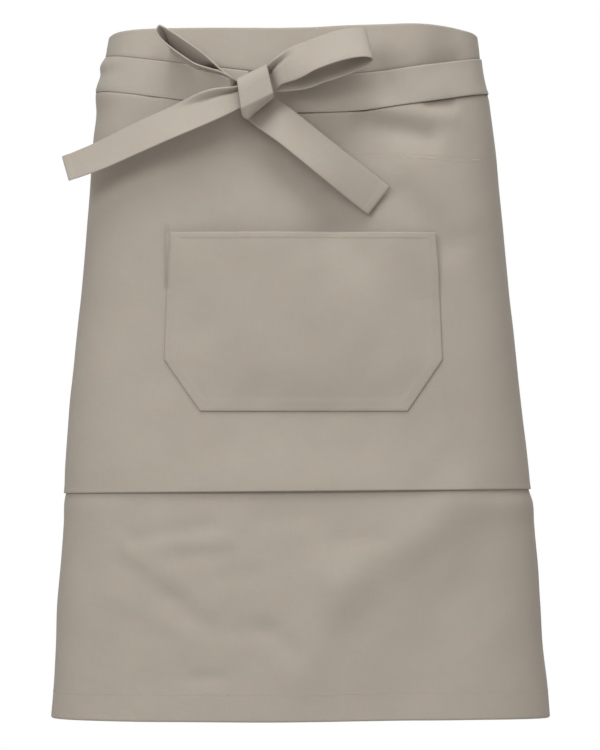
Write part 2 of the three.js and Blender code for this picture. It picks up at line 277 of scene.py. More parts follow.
# The knot: a turn of tie whose axis climbs to the right. deep is towards the front, tall is upwards, and flap
# says how much of KNOT_FLAP's drop a place takes.
KNOT = Sizes(x=-32.5, y=-137, z=-58.6, half_length=15.6, climb=0.54)
KNOT_FACE = Sizes(x=-33.4, half_length=13.1, shear=-0.186, more_shear=-0.048, level=2.0, narrow=0.06)
KNOT_SECTION = table(
    "place deep tall flap",
    ("front", 15, 3, 0),
    ("front, upper part", 14.4, 10, 0),
    ("front top corner", 11.6, 14.6, 0),
    ("top", 5, 16.2, 0),
    ("back top", -8, 13.2, 0),
    ("back", -12.6, 1, 0),
    ("back bottom", -8.5, -10.8, 0.3),
    ("bottom", 0.5, -12.8, 0.75),
    ("under the front", 6.4, -13, 1),
    ("front bottom corner", 13.8, -11.4, 0.03),
    ("front, lower part", 14.9, -7.6, 0),
)
KNOT_FLAP = table(
    "along drop",
    (-1, 1.5),
    (-0.84, 6.4),
    (-0.3, 5),
    (0.4, 2.6),
    (1, 0.6),
)
KNOT_GIRTH = 90
KNOT_SIDES = 96
INSERT = 5  # how far the loops reach into the knot

# The loops. Each runs out from the knot in its front layer, turns at the tip and runs back in its rear layer.
# side, climb, swing, reach, gather, seat and rise are as in the CAD model. spread is where the strip is back
# to its width, and sag how far the middle hangs. The layers part between part_from and part_to, to ahead and
# drop in front and to behind and lift in the rear, and blunt below 1 squares off the tip. A layer's upper
# edge leans to the front by front_lean or rear_lean, between lean_from and lean_to, and stand is how far that
# brings the strip forward. hang is 1 where the upper edge keeps to the loop's line. roll is the height of the
# rolled upper edge beside the knot, which flattens out from flat_from to flat_to. tuck is how far the tip's
# lower edge lies nearer the knot, as a share of the width.
LOOP_LEFT = Sizes(
    side=-1, climb=35.3, swing=-9, reach=92.4, gather=0.4, spread=60, seat=2, rise=7.6, sag=0,
    part_from=12, part_to=48, blunt=0.62, hang=1, stand=8, ahead=0, drop=9.4, behind=0, lift=3.2,
    front_lean=91, rear_lean=64, lean_from=2, lean_to=15, roll=0, flat_from=10, flat_to=40, tuck=0.55,
)
LOOP_RIGHT = Sizes(
    side=1, climb=19, swing=11, reach=97.5, gather=0.64, spread=42, seat=0, rise=1.4, sag=-1.5,
    part_from=0, part_to=14, blunt=1, hang=0, stand=0, ahead=10.6, drop=-6.6, behind=9.6, lift=-5.8,
    front_lean=-32, rear_lean=-32, lean_from=12, lean_to=48, roll=3.4, flat_from=8, flat_to=36, tuck=0,
)
LOOP_POINTS = 141
LOOP_START = 10  # degrees of the loop's turn, which ends at 180 less that
REAR_TURN = (65, 115)  # degrees between which the lean goes over to the rear layer's
REAR_APART = (0.3, 1)  # and how far the layers have to be apart for that
TIP_SPAN = 0.4  # radians of the turn to either side of the tip that tuck takes in

# The free ends. back is the distance behind the knot's middle, width a share of the ties', and lean how far
# the upper edge leans to the back.
TAIL_LEFT = table(
    "x back z width lean",
    (-41, -5.2, -62.6, 0.54, 0),
    (-50, -5.8, -66.6, 0.60, 4),
    (-70, -8.6, -73.3, 0.84, 18),
    (-99, -5.5, -84.9, 1, 32),
    (-133, 2.5, -99.3, 1, 34),
    (-172.7, 20, -116.2, 1, 38),
    (-204.8, 40, -127, 1, 42),
)
TAIL_RIGHT = table(
    "x back z width lean",
    (-33, 15.4, -70, 0.92, 0),
    (-22, 12, -79, 0.94, 2),
    (-2, 2.5, -94, 0.96, 12),
    (34, 3, -123, 0.98, 15),
    (77.8, 19.3, -156.9, 0.96, -4),
)
TAIL_ROLL = Sizes(roll=3.8, flat_from=30, flat_to=68)
TAIL_POINTS = 121
END_HEM = 6.5
END_HEM_STEP = 1
END_RELIEF = 0.35

# A rolled edge's section, as shares of the width: the roll's, and the place and width of the groove under it
ROLL_WIDTH, ROLL_GROOVE_AT, ROLL_GROOVE = 0.07, 0.19, 0.08

# Stitches
STITCH_PITCH = 3.0
STITCH_LENGTH = 2.3
STITCH_RADIUS = 0.27
STITCH_SIDES = 6
STITCH_RINGS = [(-1.0, 0.4), (-0.6, 0.9), (0.0, 1.0), (0.6, 0.9), (1.0, 0.4)]  # place and radius
STITCH_RISE, STITCH_DIP = 0.45, 1.3  # how far the middle stands out and the ends dip from that, in radii
EDGE_STITCH = 2.4  # from a sewn edge to its row of stitches
SIDE_STITCH = 12
HEM_STITCH = 23.5
BOX_STITCH = 26  # length of the crossed box where a tie is sewn on
HEM_SHARE = 1 - HEM_STITCH / (LAP_EDGE.height + LAP - HEM_EDGE.height)
CROSS_SEAM = Sizes(x0=38.7, z0=-113, x1=172, z1=-117.6, apart=3.4)
BAR_TACK = Sizes(x0=166, x1=175, pitch=0.7, tall=3.4)
# Where rows start, as shares of the way along or across, and how many points they are laid out on
ROW_END, END_ROW_END, HEM_ROW_END, LAPPED_ROW_START = 0.01, 0.04, 0.004, 0.14
ROW_POINTS, POCKET_ROW_POINTS, HEM_ROW_POINTS = 200, 300, 600

# Flat sizes as cut: the sheets' in metres, and the strips' lengths
UPPER_FLAT = (0.84, 0.45)
LOWER_FLAT = (0.84, 0.27)
POCKET_FLAT = (0.27, 0.203)
POCKET_AREA = 0.0525
STRIP_LENGTHS = dict(
    tie_left=540, tie_right=600, bow_knot=85, bow_loop_left=200, bow_loop_right=210,
    bow_tail_left=175, bow_tail_right=140,
)

# Looks of the cloth and the thread. The noises are in mm, and each tint runs from low to high.
PANEL_COLOUR = (0.382, 0.341, 0.294)
# The ties' colour is a little lighter than the panel's, though they are the same cloth: painted light, for
# the brighter light on the bow's upward faces.
TIE_COLOUR_WITH_PAINTED_LIGHT = (0.391, 0.351, 0.304)
THREAD_COLOUR = (0.43, 0.386, 0.332)
COOLER = (0.985, 1.006, 1.006)
WARMER = (1.015, 0.994, 0.994)
WARMTH_SPREAD = dict(low=-1, high=2)  # cut off at 0 and 1
THREAD = 0.48  # width of a thread of the weave
TWILL = 3  # threads in a repeat
NOISES = dict(
    mottle=dict(scale=0.022, detail=3),
    slub=dict(scale=1, detail=2, stretch=(1.6, 0.05, 1)),
    pick=dict(scale=1, detail=2, stretch=(0.06, 1.5, 1)),
    crinkle=dict(scale=0.11, detail=4),
    warmth=dict(scale=0.03, detail=2, stretch=(1, 1.6, 1)),
)
TINTS = dict(
    mottle=dict(low=0.95, high=1.05),
    slub=dict(low=0.96, high=1.04),
    pick=dict(low=0.97, high=1.03),
    weft=dict(low=1.01, high=0.96),
    # The rims lightened by up to 12 %: partly edge wear, partly a painted highlight where the rounded rims
    # catch the light.
    wear=dict(low=1.0, high=1.12),
)
FIBRE = dict(scale=4, detail=2)
FIBRE_TINT = dict(low=0.88, high=1.12)
SLUB_ROUGHNESS = dict(low=0.76, high=0.88)
CRINKLE_BUMP = dict(distance=0.0006, strength=0.5)
WEAVE_BUMP = dict(distance=0.00012, strength=0.35)
FIBRE_BUMP = dict(distance=0.0001, strength=0.4)
CLOTH_FINISH = {"Specular IOR Level": 0.28, "Sheen Weight": 0.12, "Sheen Roughness": 0.45}
THREAD_FINISH = {"Roughness": 0.6, "Sheen Weight": 0.1}
MIX_FIRST, MIX_SECOND, MIX_RESULT = 6, 7, 2  # the mix node's sockets for colours
FLOOR_FINISH = {"Base Color": (0.64, 0.63, 0.61, 1), "Roughness": 0.9}

# The stage, in metres and watts
FLOOR = Sizes(radius=1.3, height=-1.02, sides=96)
AMBIENT = 0.425
AMBIENT_TINT = (1.0, 0.972, 0.925, 1)
WHITE = (1, 1, 1, 1)
AIM = (0, 0, -0.3)
LIGHTS = table(
    "name place size energy",
    ("left_softbox", (-1.2, -2.1, 0.75), 1, 20),
    ("right_softbox", (1.6, -1.6, 0.8), 1.2, 2),
    ("overhead", (0.05, -1.2, 1.8), 1.4, 26),
    ("front_fill", (0.1, -3, 0.8), 1.8, 15),
    ("back_fill", (0.3, 2.8, 0.9), 1.8, 36),
)
CAMERA = Sizes(place=(0.0072, -3.118, -0.314), lens=160, sensor=36)


def smoothstep(value, low, high):
    t = np.clip((value - low) / (high - low), 0, 1)
    return t * t * (3 - 2 * t)


def unit(vectors):
    return vectors / np.linalg.norm(vectors, axis=-1, keepdims=True)


def run_length(points):
    """The distance along a line of points to each of them."""
    return np.concatenate([[0], np.cumsum(np.linalg.norm(np.diff(points, axis=0), axis=1))])


def places(*parts):
    """Arrays side by side as the coordinates of points."""
    return np.stack(np.broadcast_arrays(*parts), axis=-1)


def smooth_table(rows, key):
    """Returns read(name, at), which reads a column between the rows along a smooth curve."""
    keys = np.array([row[key] for row in rows], float)
    steps = np.diff(keys)

    def read(name, at):
        values = np.array([row[name] for row in rows], float)
        secants = np.diff(values) / steps
        slopes = (np.append(secants[:1], secants) + np.append(secants, secants[-1:])) / 2
        at = np.clip(at, keys[0], keys[-1])
        i = np.clip(np.searchsorted(keys, at, side="right") - 1, 0, len(steps) - 1)
        t = (at - keys[i]) / steps[i]
        ease = smoothstep(t, 0, 1)
        bend = slopes[i] * t * (1 - t) ** 2 - slopes[i + 1] * t * t * (1 - t)
        return values[i] * (1 - ease) + values[i + 1] * ease + steps[i] * bend

    return read


read_section = smooth_table(SECTIONS, "height")
SECTION_ANGLES = np.linspace(0, math.pi, FORM_STEPS + 1)


def section_at(height):
    return {name: read_section(name, height) for name in SECTIONS[0] if name != "height"}


def section_curve(section, angle):
    """Points of half a section at angles from the front: the distance to the side, and the depth."""
    in_front = angle < math.pi / 2
    ahead_of_widest = section["widest"] - section["front"]
    depth = np.where(in_front, ahead_of_widest, section["back"] - section["widest"])
    power = np.where(in_front, section["square"], BACK_SQUARE)
    side = np.abs(np.sin(angle)) / section["half_width"]
    ahead = np.abs(np.cos(angle)) / depth
    radius = (side**power + ahead**power) ** (-1 / power)
    return radius * np.sin(angle), section["widest"] - radius * np.cos(angle)


def section_lengths(section):
    """The distance round from the front to each of SECTION_ANGLES, a row for each section."""
    x, y = section_curve({name: column[:, None] for name, column in section.items()}, SECTION_ANGLES)
    steps = np.hypot(np.diff(x, axis=1), np.diff(y, axis=1))
    return np.concatenate([np.zeros((len(steps), 1)), np.cumsum(steps, axis=1)], axis=1)


def half_girth(height):
    return section_lengths(section_at(np.atleast_1d(height)))[:, -1]


def form_points(distance, height):
    """Points of the form for two flat arrays, of distances round from the front and of heights."""
    section = section_at(height)
    lengths = section_lengths(section)
    rows = np.arange(len(distance))
    along = np.abs(distance)
    beyond = along > lengths[:, -1]
    along = np.where(beyond, 2 * lengths[:, -1] - along, along)
    side = np.where(distance < 0, -1, 1) * np.where(beyond, -1, 1)
    i = np.clip((lengths < along[:, None]).sum(axis=1), 1, FORM_STEPS)
    share = (along - lengths[rows, i - 1]) / (lengths[rows, i] - lengths[rows, i - 1])
    angle = SECTION_ANGLES[i - 1] + share * (SECTION_ANGLES[i] - SECTION_ANGLES[i - 1])
    x, y = section_curve(section, angle)
    return places(section["shift"] + side * x, y, height)


def on_form(distance, height):
    """form_points for arrays of any shape, in chunks."""
    both = places(distance, height)
    flat = both.reshape(-1, 2)
    chunks = [flat[i : i + FORM_CHUNK] for i in range(0, len(flat), FORM_CHUNK)]
    return np.concatenate([form_points(*chunk.T) for chunk in chunks]).reshape(*both.shape[:-1], 3)


def form_frame(distance, height):
    """Points of the form, and the directions out of it there."""
    across = on_form(distance + SLOPE_STEP, height) - on_form(distance - SLOPE_STEP, height)
    down = on_form(distance, height - SLOPE_STEP) - on_form(distance, height + SLOPE_STEP)
    return on_form(distance, height), unit(np.cross(down, across))


def make_waves():
    """The waves of RIPPLES: each one's turns per mm in both directions, its phase and its height."""
    random = np.random.default_rng(SEED)
    waves = []
    for ripple in RIPPLES:
        for _ in range(ripple["count"]):
            length = random.uniform(ripple["shortest"], ripple["longest"])
            heading = random.uniform(0, math.pi)
            phase = random.uniform(0, 2 * math.pi)
            turns = 2 * math.pi / length
            rise = ripple["slope"] / turns
            waves.append((turns * math.cos(heading), turns * math.sin(heading), phase, rise))
    return waves


WAVES = make_waves()
read_trim = smooth_table(EDGE_TRIM, "distance")
read_side = smooth_table(SIDE_TRIM, "height")
read_groove = smooth_table(TIE_GROOVE, "distance")


def bridging(fold):
    """What a tie over a fold adds to it: it spans a part of a dent straight across."""
    return fold.get("tie", TIE_FOLD) - 1 if fold["rise"] < 0 else 0


def fold_rise(distance, height, weight=lambda fold: 1):
    """How far the folds stand out, each times its weight."""
    rise = np.zeros(np.broadcast(distance, height).shape)
    for fold in FOLDS:
        run_x = fold["x1"] - fold["x0"]
        run_z = fold["z1"] - fold["z0"]
        from_x = distance - fold["x0"]
        from_z = height - fold["z0"]
        share = np.clip((from_x * run_x + from_z * run_z) / (run_x**2 + run_z**2), 0, 1)
        off = np.hypot(from_x - share * run_x, from_z - share * run_z) / fold["width"]
        rise += weight(fold) * fold["rise"] * np.exp(-(off**2))
    return rise


def groove(distance, height):
    """How far a tie presses the cloth in."""
    off_tie = height - read_groove("height", distance)
    off_tie = off_tie / np.where(off_tie > 0, GROOVE_ABOVE, GROOVE_BELOW)
    return read_groove("depth", distance) * np.exp(-(off_tie**GROOVE_STEEPNESS))


def drape(distance, height):
    """How far the cloth stands out of the form by its folds and unevenness."""
    uneven = sum(rise * np.sin(along * distance + up * height + phase) for along, up, phase, rise in WAVES)
    aside = smoothstep(np.abs(distance), RIPPLE_SIDES.start, RIPPLE_SIDES.end)
    uneven = uneven * (1 - (1 - RIPPLE_SIDES.share) * aside)
    left = read_side("left", height) * smoothstep(-distance, SIDE_START, SIDE_END)
    right = read_side("right", height) * smoothstep(distance, SIDE_START, SIDE_END)
    edge = PANEL_WIDTH / 2
    fade = 1 - smoothstep(np.abs(distance), edge, edge + RIPPLE_END)
    return (uneven + left + right - groove(distance, height) + fold_rise(distance, height)) * fade


def edge_height(edge, distance):
    """Heights of one of the three edges, at distances round from the front."""
    x, y, _ = on_form(distance, edge.height).T
    section = section_at(edge.height)
    side_share = np.clip((y - section["front"]) / (section["widest"] - section["front"]), 0, 1)
    rear_share = smoothstep(np.abs(distance), REAR_START, PANEL_WIDTH / 2)
    trim = read_trim(edge.trim, distance) if edge.trim else 0
    height = edge.height + edge.tilt * x + trim
    return height - edge.side_drop * side_share + edge.rear_rise * rear_share


def graded(length, step, marks=(), extra=()):
    """Shares from 0 to 1 along a length, about step apart, with close ones at marks and ends, and extra."""
    even = np.linspace(0, length, max(2, round(length / step)) + 1)
    close = [mark + offset for mark in marks for offset in (-CLOSE_STEP, 0, CLOSE_STEP)]
    close += [CLOSE_STEP, length - CLOSE_STEP, *extra]
    far = [value for value in even[1:-1] if min(abs(value - other) for other in close) > CLOSE_STEP]
    return np.array(sorted([0, length, *far, *close])) / length


class Wall:
    """A closed cloth wall over a grid, with its outer points kept for the stitches on it."""

    def __init__(self, node, middle, thickness, flat, across, along, inside=0.0, ring=False):
        self.node = node
        self.across = across
        self.along = along
        rows, columns = middle.shape[:2]
        if ring:
            wrapped = np.concatenate([middle[:, -1:], middle, middle[:, :1]], axis=1)
            along_step = np.gradient(wrapped, axis=1)[:, 1:-1]
        else:
            along_step = np.gradient(middle, axis=1)
        self.out = unit(np.cross(np.gradient(middle, axis=0), along_step))
        self.outer = middle + self.out * thickness / 2
        inner = middle - self.out * (thickness / 2 + np.broadcast_to(inside, middle.shape[:2])[..., None])
        layer = rows * columns
        index = np.arange(layer).reshape(rows, columns)
        here = index if ring else index[:, :-1]
        after = np.roll(index, -1, axis=1) if ring else index[:, 1:]
        quads = np.stack([here[:-1], here[1:], after[1:], after[:-1]], axis=-1).reshape(-1, 4)
        if ring:
            borders = [index[0], index[-1][::-1]]
        else:
            borders = [np.concatenate([index[0, :-1], index[:-1, -1], index[-1, :0:-1], index[:0:-1, 0]])]
        outer_points = self.outer.reshape(-1, 3)
        inner_points = inner.reshape(-1, 3)
        outward = self._outward(middle, ring).reshape(-1, 3)
        points = [outer_points, inner_points]
        faces = [quads, quads[:, ::-1] + layer]
        source = [np.arange(layer), np.arange(layer)]
        start = 2 * layer
        for border in borders:
            half = np.linalg.norm(outer_points[border] - inner_points[border], axis=1, keepdims=True) / 2
            points.append((outer_points[border] + inner_points[border]) / 2 + outward[border] * half)
            rim = start + np.arange(len(border))
            after = np.roll(border, -1)
            rim_after = np.roll(rim, -1)
            faces.append(np.stack([after, border, rim, rim_after], axis=-1))
            faces.append(np.stack([rim_after, rim, border + layer, after + layer], axis=-1))
            source.append(border)
            start += len(border)
        self.piece = new_mesh(f"{node}_cloth", np.concatenate(points), np.concatenate(faces))
        self._mark(flat.reshape(-1, 2), np.concatenate(source), 2 * layer)

    @staticmethod
    def _outward(middle, ring):
        """The directions out over the border, in the cloth's own surface."""
        outward = np.zeros_like(middle)
        for end, next_in in ((0, 1), (-1, -2)):
            outward[end] += unit(middle[end] - middle[next_in])
            if not ring:
                outward[:, end] += unit(middle[:, end] - middle[:, next_in])
        length = np.linalg.norm(outward, axis=-1, keepdims=True)
        return outward / np.where(length > 0, length, 1)

    def _mark(self, flat, source, rim_start):
        """UVs are the laid-flat cloth, in metres, and the rim mark is 1 along the rims, where the colour is
        lightened, partly for edge wear and partly as a painted highlight.
        """
        mesh = self.piece.data
        corners = np.empty(len(mesh.loops), np.int32)
        mesh.loops.foreach_get("vertex_index", corners)
        uvs = (flat[source[corners]] * MM).astype(np.float32)
        mesh.uv_layers.new(name="flat").data.foreach_set("uv", uvs.ravel())
        wear = (np.arange(len(source)) >= rim_start).astype(np.float32)
        mesh.attributes.new("wear", "FLOAT", "POINT").data.foreach_set("value", wear)

    def at(self, along, across):
        """Points on the outer side, and the directions out, at shares along and across."""

        def cell(shares, at):
            place = np.interp(at, shares, np.arange(len(shares)))
            first = np.clip(place.astype(int), 0, len(shares) - 2)
            return first, (place - first)[:, None]

        i, s = cell(self.across, across)
        j, t = cell(self.along, along)

        def blend(grid):
            upper = grid[i, j] * (1 - t) + grid[i, j + 1] * t
            lower = grid[i + 1, j] * (1 - t) + grid[i + 1, j + 1] * t
            return upper * (1 - s) + lower * s

        return blend(self.outer), unit(blend(self.out))


def new_object(name, data):
    made = bpy.data.objects.new(name, data)
    bpy.context.scene.collection.objects.link(made)
    return made


def new_mesh(name, points, faces):
    mesh = bpy.data.meshes.new(name)
    mesh.from_pydata((points * MM).tolist(), [], [list(face) for face in faces])
    shaped = bmesh.new()
    shaped.from_mesh(mesh)
    bmesh.ops.recalc_face_normals(shaped, faces=shaped.faces)
    shaped.to_mesh(mesh)
    shaped.free()
    mesh.polygons.foreach_set("use_smooth", [True] * len(mesh.polygons))
    mesh.update()
    return new_object(name, mesh)


def hem_thickness(from_edge, width):
    return HEM_EXTRA * (1 - smoothstep(from_edge, width, width + HEM_STEP))


def panel_wall(node, along, across, height, lift, inside):
    """A panel's wall, standing out of the form by its drape and lift."""
    distance, height = np.broadcast_arrays((along - 0.5) * PANEL_WIDTH, height)
    points, out = form_frame(distance, height)
    middle = points + out * (lift + drape(distance, height))[..., None]
    return Wall(node, middle, CLOTH, places(distance, height), across, along, inside)


def upper_panel():
    half = PANEL_WIDTH / 2
    beside_pocket = [half + NARROW_FOLD.at + step * NARROW_FOLD.apart for step in (-1, 0, 1)]
    along = graded(PANEL_WIDTH, PANEL_STEP, (SIDE_HEM, PANEL_WIDTH - SIDE_HEM, *beside_pocket))
    length = TOP_EDGE.height - LAP_EDGE.height
    across = graded(length, PANEL_STEP, (TOP_HEM,), TIE_ZONE.edges)
    distance = (along - 0.5) * PANEL_WIDTH
    top = edge_height(TOP_EDGE, distance)
    bottom = edge_height(LAP_EDGE, distance)
    height = top + (bottom - top) * across[:, None]
    below = across[:, None] * length
    near_tie = smoothstep(below, TIE_ZONE.start, TIE_ZONE.full)
    near_tie = near_tie * (1 - smoothstep(below, TIE_ZONE.fade, TIE_ZONE.end))
    height = height + (read_groove("height", distance) + TIE_ZONE.level - below - height) * near_tie
    lap_lift = read_trim("gape", distance) * (1 - smoothstep(height - bottom, 0, LAP_LIFT_LENGTH))
    side_hem = hem_thickness(half - np.abs(distance), SIDE_HEM)
    inside = np.maximum(side_hem, hem_thickness(top - height, TOP_HEM))
    return panel_wall("upper_panel", along, across, height, lap_lift, inside)


def lower_panel():
    along = graded(PANEL_WIDTH, PANEL_STEP, (SIDE_HEM, PANEL_WIDTH - SIDE_HEM))
    length = LAP_EDGE.height + LAP - HEM_EDGE.height
    across = graded(length, PANEL_STEP, (length - BOTTOM_HEM,))
    distance = (along - 0.5) * PANEL_WIDTH
    lap = edge_height(LAP_EDGE, distance)
    bottom = edge_height(HEM_EDGE, distance)
    height = lap + LAP + (bottom - lap - LAP) * across[:, None]
    tucked = (CLOTH + LAP_AIR) * (1 - smoothstep(lap - height, 0, LAP_EASE_LENGTH))
    side_hem = hem_thickness(PANEL_WIDTH / 2 - np.abs(distance), SIDE_HEM) * (height < lap)
    inside = np.maximum(side_hem, hem_thickness(height - bottom, BOTTOM_HEM))
    return panel_wall("lower_panel", along, across, height, -tucked, inside)


POCKET_HEIGHTS = np.array([row["height"] for row in POCKET_LEVELS], float)


def pocket_level(name, height):
    """A column of POCKET_LEVELS, read straight between its rows."""
    return np.interp(-height, -POCKET_HEIGHTS, [row[name] for row in POCKET_LEVELS])


def pocket():
    mouth, foot = POCKET_HEIGHTS[0], POCKET_HEIGHTS[-1]
    depth = mouth - foot
    across = graded(depth, POCKET_STEP, (*(mouth - POCKET_HEIGHTS[1:-1]), MOUTH_HEM))
    along = graded(2 * POCKET_LEVELS[0]["half_width"], POCKET_STEP)
    height = np.broadcast_to((mouth - depth * across)[:, None], (len(across), len(along)))
    half_width, shift, seam = (pocket_level(name, height) for name in ("half_width", "shift", "seam"))
    side = 2 * along - 1
    fall = (mouth - height) / depth
    loose = POCKET_SIDE_SLACK * (1 - seam)
    bulge = (loose + (1 - loose) * (1 - side**2)) * (1 - fall**2)
    distance = POCKET_CENTRE + shift + side * half_width
    from_edge = np.minimum(half_width * (1 - np.abs(side)), height - foot)
    past_turning = smoothstep(from_edge, POCKET_TURNING, POCKET_TURNING + 2 * HEM_STEP)
    past_mouth = smoothstep(mouth - height, MOUTH_HEM, MOUTH_HEM + HEM_STEP)
    relief = POCKET_RELIEF * (1 - np.minimum(past_turning, past_mouth))
    points, out = form_frame(distance, height)
    lift = CLOTH + AIR + POCKET_SLACK * bulge + relief + drape(distance, height)
    middle = points + out * lift[..., None]
    return Wall("pocket", middle, CLOTH, places(distance, height), across, along)


def tie(node, rows):
    read = smooth_table(rows, "turn")
    first, last = rows[0]["turn"], rows[-1]["turn"]
    length = (last - first) * half_girth(rows[len(rows) // 2]["height"])[0]
    along = graded(length, TIE_STEP)
    across = graded(TIE_WIDTH, TIE_STEP, (TIE_WIDTH - EDGE_STITCH,))
    turn = first + (last - first) * along
    centre = read("height", turn)
    girth = half_girth(centre)
    distance = np.broadcast_to(turn * girth, (len(across), len(along)))
    height = centre + (0.5 - across[:, None]) * TIE_WIDTH
    wrapped = (distance + girth) % (2 * girth) - girth
    points, out = form_frame(distance, height)
    level = groove(wrapped, height) - groove(wrapped, np.broadcast_to(centre, height.shape))
    bridged = level + fold_rise(wrapped, height, bridging)
    lift = CLOTH / 2 + TIE_AIR + TIE_CLOTH / 2 + read("lift", turn) + drape(wrapped, height) + bridged
    middle = points + out * lift[..., None]
    return Wall(node, middle, TIE_CLOTH, places(distance, height - centre), across, along)


def ribbon(node, middle, down, width, cup, along, across):
    """A strip of tie along a line of points. down points to its lower edge, and cup is how far it bulges."""
    out = unit(np.cross(down, np.gradient(middle, axis=0)))
    offset = (across - 0.5)[:, None, None] * (down * width[:, None])
    grid = middle + offset + out * cup[..., None]
    flat = places(run_length(middle), (0.5 - across[:, None]) * TIE_WIDTH)
    return Wall(node, grid, TIE_CLOTH, flat, across, along)


def closed_curve(points, count):
    """Points evenly along a smooth closed curve through the given ones."""
    place = np.arange(count) / count * len(points)
    i = place.astype(int)
    t = (place - i)[:, None]
    before, here, after, later = (points[(i + k) % len(points)] for k in (-1, 0, 1, 2))
    turn = (after - before) * t
    bend = (2 * before - 5 * here + 4 * after - later) * t**2
    twist = (3 * here - before - 3 * after + later) * t**3
    return here + (turn + bend + twist) / 2


def knot():
    section = np.array([(row["deep"], row["tall"], row["flap"]) for row in KNOT_SECTION])
    deep, tall, flap = closed_curve(section, KNOT_SIDES).T
    across = graded(2 * KNOT_FACE.half_length, STRIP_STEP / 2)
    along = 2 * across[:, None] - 1
    drop = smooth_table(KNOT_FLAP, "along")("drop", along)
    tall = np.where(tall > 0, tall * (1 - KNOT_FACE.narrow * (along + 1)), tall) - drop * flap
    axis = KNOT_FACE.x + along * KNOT_FACE.half_length
    shear = KNOT_FACE.shear + KNOT_FACE.more_shear * along
    x = axis + shear * (tall - KNOT_FACE.level)
    z = KNOT.z + (axis - KNOT.x) * KNOT.climb + tall
    round_it = np.linspace(0, 1, KNOT_SIDES)
    flat = places(round_it * KNOT_GIRTH, along * KNOT_FACE.half_length)
    middle = places(x, KNOT.y - deep, z)
    return Wall("bow_knot", middle, KNOT_CLOTH, flat, across, round_it, ring=True)


def rolled_edge(roll, from_knot, across):
    """How far a strip stands out by its rolled upper edge beside the knot, with a groove under the roll."""
    crest = np.exp(-((across / ROLL_WIDTH) ** 2))
    trough = np.exp(-(((across - ROLL_GROOVE_AT) / ROLL_GROOVE) ** 2))
    rolled = 1 - smoothstep(from_knot, roll.flat_from, roll.flat_to)
    return roll.roll * (crest - trough)[:, None] * rolled


def bow_loop(node, loop):
    climb = math.radians(loop.climb)
    swing = math.radians(loop.swing)
    side = loop.side
    run = unit(np.array([side * math.cos(climb), -math.tan(swing), math.sin(climb)]))
    up = np.array([-side * math.sin(climb), 0, math.cos(climb)])
    back = side * np.cross(up, run)
    inside = side * (KNOT.half_length - INSERT)
    root_height = KNOT.z + inside * KNOT.climb + loop.rise
    root = np.array([KNOT.x + inside, KNOT.y + loop.seat, root_height])
    start = math.radians(LOOP_START)
    along = np.linspace(0, 1, LOOP_POINTS)
    across = graded(TIE_WIDTH, STRIP_STEP)
    turn = start + (math.pi - 2 * start) * along
    out = loop.reach * (np.sin(turn) - math.sin(start)) / (1 - math.sin(start))
    apart = np.sin(2 * turn)
    apart = np.sign(apart) * np.abs(apart) ** loop.blunt
    apart = apart * smoothstep(out, loop.part_from, loop.part_to)
    rear = smoothstep(turn, *np.radians(REAR_TURN)) * smoothstep(np.abs(apart), *REAR_APART)
    lean = loop.front_lean + (loop.rear_lean - loop.front_lean) * rear
    leant = smoothstep(out, loop.lean_from, loop.lean_to)
    lean = np.radians(lean * leant)
    tuck = loop.tuck * np.exp(-(((turn - math.pi / 2) / TIP_SPAN) ** 2))
    down = unit(back * np.sin(lean)[:, None] - up * np.cos(lean)[:, None] - run * tuck[:, None])
    width = TIE_WIDTH * (loop.gather + (1 - loop.gather) * smoothstep(out, INSERT, loop.spread))
    depth = -apart * np.where(apart > 0, loop.ahead, loop.behind) - loop.stand * leant
    shift = -apart * np.where(apart > 0, loop.drop, loop.lift)
    shift = shift - loop.sag * np.sin(math.pi * out / loop.reach) - loop.hang * np.cos(lean) * width / 2
    ahead = out - tuck * width / 2
    middle = root + run * ahead[:, None] + back * depth[:, None] + up * shift[:, None]
    cup = side * rolled_edge(loop, out, across) * (turn < math.pi / 2)
    return ribbon(node, middle, down, width, cup, along, across)


def bow_tail(node, rows, roll=None):
    along = np.linspace(0, 1, TAIL_POINTS)
    across = graded(TIE_WIDTH, STRIP_STEP)
    read = smooth_table([dict(row, place=i / (len(rows) - 1)) for i, row in enumerate(rows)], "place")
    middle = places(read("x", along), KNOT.y + read("back", along), read("z", along))
    run = unit(np.gradient(middle, axis=0) * [1, 0, 1])
    facing = np.sign(run[:, 0])
    lean = np.radians(read("lean", along))
    upright = facing * np.cos(lean)
    down = places(run[:, 2] * upright, -np.sin(lean), -run[:, 0] * upright)
    from_knot = run_length(middle)
    hem_start = from_knot[-1] - END_HEM
    stand_out = END_RELIEF * smoothstep(from_knot, hem_start - END_HEM_STEP, hem_start)
    if roll:
        stand_out = stand_out + rolled_edge(roll, from_knot, across)
    cup = np.broadcast_to(facing * stand_out, (len(across), TAIL_POINTS))
    return ribbon(node, middle, down, TIE_WIDTH * read("width", along), cup, along, across)


